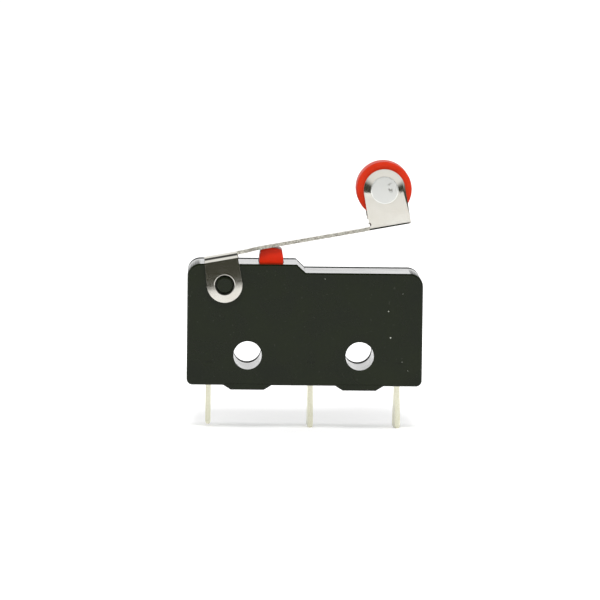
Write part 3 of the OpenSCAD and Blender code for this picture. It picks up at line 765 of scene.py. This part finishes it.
class StageSettings(bpy.types.PropertyGroup):
    """Camera and lights."""

    distance: FloatProperty(
        name="Camera distance", description="Camera to the aim point", default=0.38,
        unit="LENGTH",
    )
    azimuth: FloatProperty(
        name="Azimuth", description="Camera's turn round the switch", default=math.radians(-1.3),
        unit="ROTATION",
    )
    elevation: FloatProperty(
        name="Elevation", description="Camera's height as an angle", default=math.radians(5.55),
        unit="ROTATION",
    )
    roll: FloatProperty(
        name="Roll", description="Camera's tilt to one side", default=math.radians(0.68),
        unit="ROTATION",
    )
    lens: FloatProperty(
        name="Lens", description="Focal length in millimetres", default=267.2
    )
    room: FloatVectorProperty(
        name="Room", description="Light of the room behind the camera",
        default=(0.08, 0.08, 0.06), min=0,
    )
    tent: FloatProperty(
        name="Tent", description="Brightness of the tent over the camera", default=1.4, min=0
    )
    walls: FloatProperty(
        name="Walls", description="Brightness of the walls to both sides", default=0.8, min=0
    )
    ceiling: FloatProperty(
        name="Ceiling", description="Brightness of the ceiling", default=0.12, min=0
    )
    sweep: FloatProperty(
        name="Sweep", description="Brightness of the white sweep", default=1.4, min=0
    )
    softbox: FloatProperty(
        name="Softbox", description="Power of the front softbox", default=3.8, min=0,
        unit="POWER",
    )
    softbox_size: FloatProperty(
        name="Softbox size", description="Side of the front softbox", default=0.28, min=0,
        unit="LENGTH",
    )
    softbox_place: FloatVectorProperty(
        name="Softbox place", description="Middle of the front softbox",
        default=(0.0, -0.49, 0.63), unit="LENGTH",
    )
    table_front: FloatProperty(
        name="Table front", description="Depth of the table before the switch", default=0.33,
        min=0, unit="LENGTH",
    )
    aim: FloatVectorProperty(
        name="Aim point", description="Point at the middle of the view",
        default=(0.00446, 0.0, 0.00444), unit="LENGTH",
    )


# ---- operators ----


class SWITCH_OT_housing(bpy.types.Operator):
    """Moulded case and cover"""

    bl_idname = "switch.housing"
    bl_label = "Housing"

    def execute(self, context):
        colours = context.scene.switch_colours
        width = context.scene.switch_sizes.plastic_edge
        for node, slot, roughness, sheen in (
            ("case", "housing_plastic", 0.15, 0.15),
            ("cover", "cover_plastic", 0.8, 0.05),
        ):
            material = moulded_housing_plastic(
                f"moulded_pbt_{node}", colours.housing_dark, colours.housing_light,
                colours.fleck, roughness, sheen,
            )
            piece = finish_mesh(
                softened(node, width), f"{node}_moulding", [material], "housing", node
            )
            fix_normals(piece, square_normal)
        return {"FINISHED"}


class SWITCH_OT_plunger(bpy.types.Operator):
    """Red plunger"""

    bl_idname = "switch.plunger"
    bl_label = "Plunger"

    def execute(self, context):
        colours = context.scene.switch_colours
        material = moulded_red_plastic(
            "moulded_acetal_plunger", colours.plunger, colours.plunger_shade,
            roughness=0.38, sheen=0.2,
        )
        bm = softened("plunger", context.scene.switch_sizes.plastic_edge)
        finish_mesh(bm, "plunger_button", [material], "plunger", "plunger")
        return {"FINISHED"}


class SWITCH_OT_terminals(bpy.types.Operator):
    """Three terminals with their pins"""

    bl_idname = "switch.terminals"
    bl_label = "Terminals"

    def execute(self, context):
        colours = context.scene.switch_colours
        material = rolled_sheet_metal(
            "tin_plated_brass", colours.tin, colours.tin_shade, roughness=0.3,
            rolled_along=(1.0, 1.0, 0.08), line_mm=0.06,
        )
        cut = sheared_edge(
            "tin_plated_sheared_edge", colours.tin_cut, colours.tin_cut_shade, roughness=0.3
        )
        width = context.scene.switch_sizes.pin_edge
        for node in ("com_terminal", "no_terminal", "nc_terminal"):
            bm = softened(node, width)
            mark_cut_edges(bm, STRIP_SHEET)
            finish_mesh(
                bm, f"{node}_strip", [material, cut], "housing", node
            )
        return {"FINISHED"}


class SWITCH_OT_contacts(bpy.types.Operator):
    """Fixed and moving contacts"""

    bl_idname = "switch.contacts"
    bl_label = "Contacts"

    def execute(self, context):
        colours = context.scene.switch_colours
        material = rolled_sheet_metal(
            "headed_silver_alloy", colours.silver, colours.steel_shade, roughness=0.25,
            rolled_along=(1.0, 1.0, 1.0), line_mm=0.1,
        )
        width = context.scene.switch_sizes.turned_edge
        for node, body in (
            ("no_contact", "housing"),
            ("nc_contact", "housing"),
            ("moving_contact", "spring"),
        ):
            finish_mesh(
                softened(node, width), f"{node}_head", [material], body, node,
            )
        return {"FINISHED"}


class SWITCH_OT_snap_spring(bpy.types.Operator):
    """Snap spring"""

    bl_idname = "switch.snap_spring"
    bl_label = "Snap spring"

    def execute(self, context):
        colours = context.scene.switch_colours
        material = rolled_sheet_metal(
            "rolled_beryllium_copper", colours.spring, colours.spring, roughness=0.28,
            rolled_along=(0.08, 1.0, 1.0), line_mm=0.05,
        )
        # The sheet is too thin for a rounded edge to show, so its edges stay as cut
        piece = finish_mesh(
            softened("snap_spring", 0.0), "snap_spring_sheet", [material], "spring",
            "snap_spring",
        )
        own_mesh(piece)
        return {"FINISHED"}


class SWITCH_OT_lever(bpy.types.Operator):
    """Folded sheet lever"""

    bl_idname = "switch.lever"
    bl_label = "Lever"

    def execute(self, context):
        colours = context.scene.switch_colours
        material = rolled_sheet_metal(
            "stamped_stainless_sheet", colours.steel, colours.steel_shade, roughness=0.09,
            rolled_along=(0.06, 1.0, 1.0), line_mm=0.04,
        )
        cut = sheared_edge(
            "sheared_stainless_edge", colours.steel_cut, colours.steel_cut_shade,
            roughness=0.4,
        )
        bm = softened("lever", context.scene.switch_sizes.sheet_edge, segments=1)
        mark_cut_edges(bm, LEVER["sheet"])
        draw_ear(bm)
        piece = finish_mesh(
            bm, "lever_sheet", [material, cut], "lever", "lever"
        )
        fix_normals(piece, lever_normal)
        return {"FINISHED"}


class SWITCH_OT_roller(bpy.types.Operator):
    """Red roller"""

    bl_idname = "switch.roller"
    bl_label = "Roller"

    def execute(self, context):
        colours = context.scene.switch_colours
        material = moulded_red_plastic(
            "tumbled_nylon_roller", colours.roller, colours.roller_shade,
            roughness=0.5, sheen=0.07,
        )
        edge = context.scene.switch_sizes.turned_edge
        front_half = [
            (ROLLER["bore"], -ROLLER["hub_half"]),
            *quarter(ROLLER["hub"], -ROLLER["hub_half"], edge, -1),
            (ROLLER["hub"], -ROLLER["half"]),
            *quarter(
                ROLLER["rim"], -ROLLER["half"], ROLLER["soft"], -1, ROLLER["soft_steps"]
            )[1:],
        ]
        back_half = [(radius, -along) for radius, along in reversed(front_half)]
        bm = turned("roller", front_half + back_half)
        finish_mesh(bm, "roller_wheel", [material], "roller", "roller")
        return {"FINISHED"}


class SWITCH_OT_rivet(bpy.types.Operator):
    """Rivet that carries the roller"""

    bl_idname = "switch.rivet"
    bl_label = "Rivet"

    def execute(self, context):
        material = struck_rivet_steel(context.scene.switch_colours)
        edge = context.scene.switch_sizes.turned_edge
        # A ring just inside the head's round keeps the light even over its flat face
        flat = RIVET["head"] - RIVET["head_soft"] - RIVET["head_ring"]
        bm = turned(
            "roller_rivet",
            [
                (0, -RIVET["head_face"]),
                (flat, -RIVET["head_face"]),
                *quarter(RIVET["head"], -RIVET["head_face"], RIVET["head_soft"], -1),
                (RIVET["head"], -RIVET["seat"]),
                (RIVET["shank"], -RIVET["seat"]),
                (RIVET["shank"], RIVET["seat"]),
                (RIVET["tail"], RIVET["seat"]),
                *quarter(RIVET["tail"], RIVET["tail_face"], edge, 1),
                (0, RIVET["tail_face"]),
            ],
        )
        finish_mesh(bm, "rivet", [material], "lever", "roller_rivet")
        return {"FINISHED"}


class SWITCH_OT_dust(bpy.types.Operator):
    """Dust on the front of the case"""

    bl_idname = "switch.dust"
    bl_label = "Dust"

    def execute(self, context):
        draw = random.Random(5)
        bm = bmesh.new()
        for x, z, width in DUST:
            grain = bmesh.ops.create_icosphere(bm, subdivisions=2, radius=width * MM / 2)
            for vert in grain["verts"]:
                vert.co *= draw.uniform(GRAIN["smallest"], 1.0)
                vert.co.y *= GRAIN["flat"]
                vert.co += Vector((x * MM, -FRONT * MM, z * MM))
        material = loose_dust(context.scene.switch_colours)
        finish_mesh(bm, "dust_grains", [material], "housing", None, smooth_angle=80)
        return {"FINISHED"}


class SWITCH_OT_stage(bpy.types.Operator):
    """Floor, lights and camera"""

    bl_idname = "switch.stage"
    bl_label = "Stage"

    def execute(self, context):
        scene = context.scene
        settings = scene.switch_stage
        low = CAD_BOX[0][2]
        front = -settings.table_front
        back = side = FLOOR_HALF
        mesh = bpy.data.meshes.new("floor")
        corners = [(-side, front), (side, front), (side, back), (-side, back)]
        mesh.from_pydata([(x, y, low) for x, y in corners], [], [(0, 1, 2, 3)])
        mesh.materials.append(plain_floor(scene.switch_colours.floor))
        floor = bpy.data.objects.new("floor", mesh)
        scene.collection.objects.link(floor)

        scene.world = white_studio(settings)
        scene.view_settings.view_transform = "Standard"

        light = bpy.data.lights.new("front_softbox", "AREA")
        light.size = settings.softbox_size
        light.energy = settings.softbox
        lamp = bpy.data.objects.new("front_softbox", light)
        lamp.location = settings.softbox_place
        lamp.visible_glossy = False
        lamp.rotation_mode = "QUATERNION"
        toward = Vector(settings.aim) - Vector(settings.softbox_place)
        lamp.rotation_quaternion = toward.to_track_quat("-Z", "Y")
        scene.collection.objects.link(lamp)

        camera = bpy.data.cameras.new("camera")
        camera.lens = settings.lens
        camera.sensor_width = 36
        camera.clip_start = 0.01
        camera.clip_end = 20
        eye = bpy.data.objects.new("camera", camera)
        a, e = settings.azimuth, settings.elevation
        away = Vector((math.sin(a) * math.cos(e), -math.cos(a) * math.cos(e), math.sin(e)))
        eye.location = Vector(settings.aim) + away * settings.distance
        eye.rotation_mode = "QUATERNION"
        level = (-away).to_track_quat("-Z", "Y").to_matrix().to_4x4()
        rolled = level @ Matrix.Rotation(settings.roll, 4, "Z")
        eye.rotation_quaternion = rolled.to_quaternion()
        scene.collection.objects.link(eye)
        scene.camera = eye
        return {"FINISHED"}


OPERATORS = (
    SWITCH_OT_stage,
    SWITCH_OT_housing,
    SWITCH_OT_plunger,
    SWITCH_OT_terminals,
    SWITCH_OT_contacts,
    SWITCH_OT_snap_spring,
    SWITCH_OT_lever,
    SWITCH_OT_roller,
    SWITCH_OT_rivet,
    SWITCH_OT_dust,
)


class SWITCH_PT_panel(bpy.types.Panel):
    """Pieces of the micro switch"""

    bl_idname = "SWITCH_PT_panel"
    bl_label = "Micro Switch"
    bl_space_type = "VIEW_3D"
    bl_region_type = "UI"
    bl_category = "Micro Switch"

    def draw(self, context):
        for operator in OPERATORS:
            self.layout.operator(operator.bl_idname)


SETTINGS = (
    ("switch_colours", SwitchColours),
    ("switch_sizes", SwitchSizes),
    ("switch_stage", StageSettings),
)


def register():
    """Registers the settings, the operators and the panel."""
    for name, group in SETTINGS:
        bpy.utils.register_class(group)
        setattr(bpy.types.Scene, name, PointerProperty(type=group))
    for cls in (*OPERATORS, SWITCH_PT_panel):
        bpy.utils.register_class(cls)


def unregister():
    """Takes them out again, in reverse."""
    for cls in reversed((*OPERATORS, SWITCH_PT_panel)):
        bpy.utils.unregister_class(cls)
    for name, group in reversed(SETTINGS):
        delattr(bpy.types.Scene, name)
        bpy.utils.unregister_class(group)


def main():
    """Builds the stage and every piece."""
    register()
    for operator in OPERATORS:
        group, name = operator.bl_idname.split(".")
        getattr(getattr(bpy.ops, group), name)()


if __name__ == "__main__":
    main()
